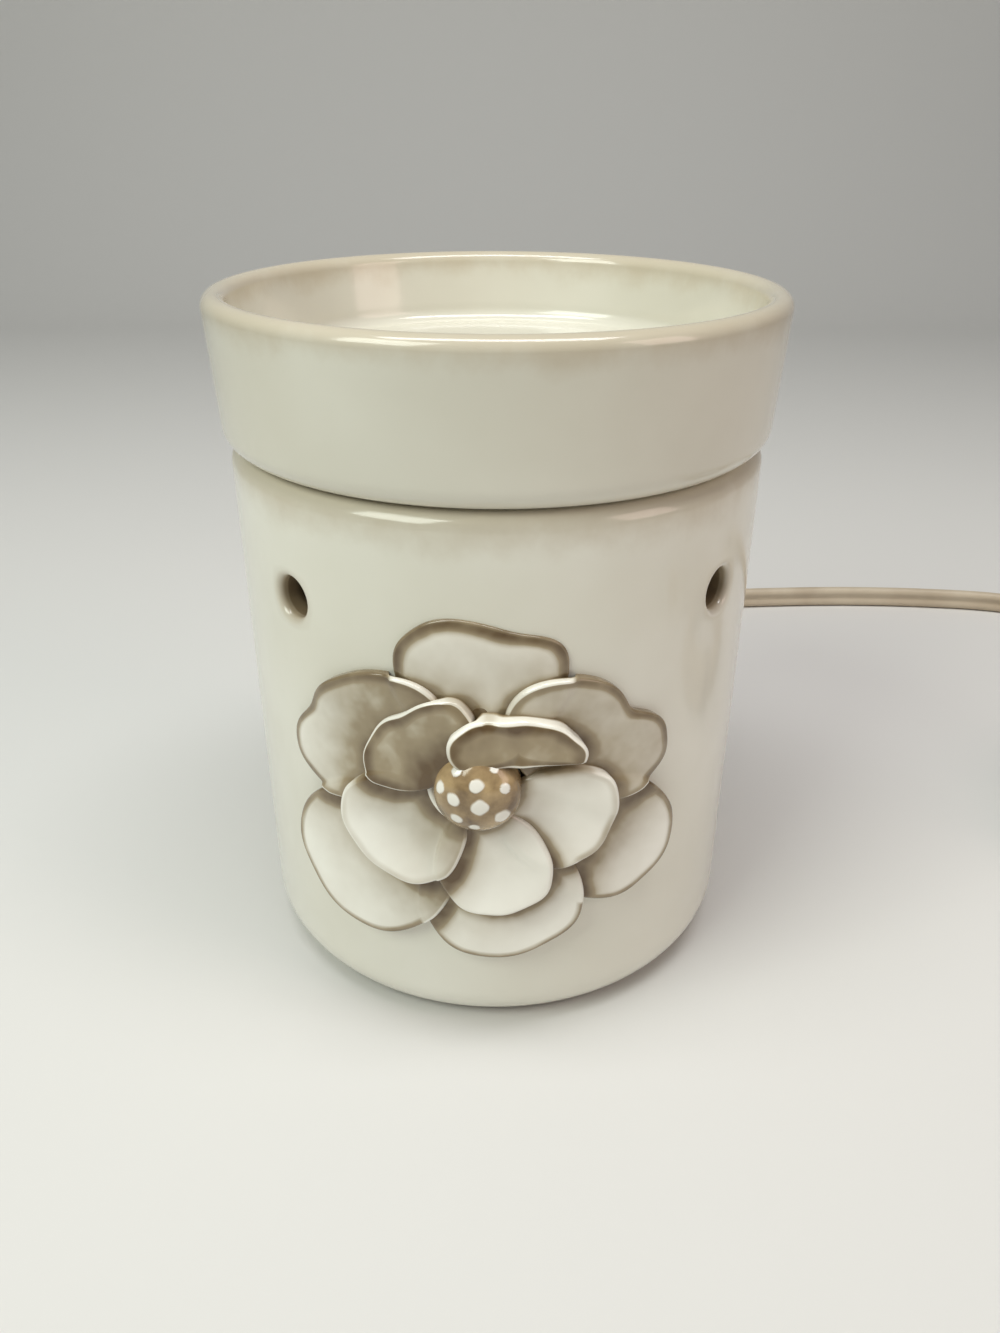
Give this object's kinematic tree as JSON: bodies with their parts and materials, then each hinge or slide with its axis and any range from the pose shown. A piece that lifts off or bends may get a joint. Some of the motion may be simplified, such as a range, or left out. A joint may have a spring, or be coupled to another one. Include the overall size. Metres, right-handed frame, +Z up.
{
  "type": "electric wax warmer",
  "caption": "Glazed ceramic wax warmer: round body with a raised flower, a lift-off wax dish, a small lamp inside, and a flat cord with a roller switch and plug.",
  "frame": {"origin": "on the body's axis, at the level of the table", "axes": "+Z up along the body's axis, -Y out through the flower on the front, +X to its right as seen from the front"},
  "size_m": [0.3022, 0.2456, 0.14],
  "materials": {
    "body_glaze": "cream white glaze, glossy",
    "dish_glaze": "cream white glaze, glossy",
    "petal_glaze": "white glaze over a brown wash, glossy",
    "button_glaze": "brown glaze with pale dots, glossy",
    "bakelite": "dark moulded",
    "brass": "plain",
    "steel": "plated",
    "cap_aluminium": "plain",
    "tungsten": "drawn",
    "black_glass": "glossy",
    "clear_glass": "clear",
    "cord_pvc": "cream, satin",
    "moulded_cream": "cream, satin",
    "dark_plastic": "moulded, matt",
    "sleeve_black": "satin",
    "sleeve_white": "satin"
  },
  "bodies": {
    "base": {"body_shell": "body_glaze", "flower_petals": "petal_glaze", "flower_button": "button_glaze", "lamp_holder": "bakelite", "holder_ring_nut": "bakelite", "holder_shell": "brass", "holder_contact": "brass", "terminal_live": "brass", "terminal_neutral": "brass", "terminal_screw_live": "steel", "terminal_screw_neutral": "steel", "lead_live": "sleeve_black", "lead_neutral": "sleeve_white", "base_cover": "dark_plastic", "cover_screw_left": "steel", "cover_screw_right": "steel", "cord_relief": "moulded_cream", "cord_lead": "cord_pvc", "cord_link": "cord_pvc", "cord_coil": "cord_pvc", "cord_tail": "cord_pvc", "cord_tie": "dark_plastic", "switch_lower_case": "moulded_cream", "switch_upper_case": "moulded_cream", "switch_axle": "steel", "switch_screw": "steel", "switch_contact_in": "brass", "switch_contact_out": "brass", "plug_body": "moulded_cream", "plug_blade_wide": "brass", "plug_blade_narrow": "brass"},
    "dish": {"wax_dish": "dish_glaze"},
    "lamp_carrier": {"bulb_contact": "steel"},
    "lamp": {"bulb_insulator": "black_glass", "bulb_cap": "cap_aluminium", "bulb_glass": "clear_glass", "bulb_stem": "clear_glass", "bulb_filament": "tungsten"},
    "roller": {"switch_roller": "dark_plastic"}
  },
  "joints": [
    {"name": "dish_lift", "type": "slide", "parent": "base", "child": "dish", "axis": [0, 0, 1], "range_m": [0, 0.06]},
    {"name": "lamp_rise", "type": "slide", "parent": "base", "child": "lamp_carrier", "axis": [0, 0, 1], "range_m": [0, 0.0077]},
    {"name": "lamp_turn", "type": "hinge", "parent": "lamp_carrier", "child": "lamp", "pos_m": [0, 0, 0.036], "axis": [0, 0, 1], "range_deg": [0, 1080]},
    {"name": "roller_turn", "type": "hinge", "parent": "base", "child": "roller", "pos_m": [0.234, 0.082, 0.0106], "axis": [1, 0, 0], "continuous": true}
  ],
  "couplings": [
    {"joint": "lamp_rise", "follows": "lamp_turn", "m_per_rad": 0.00040425}
  ]
}
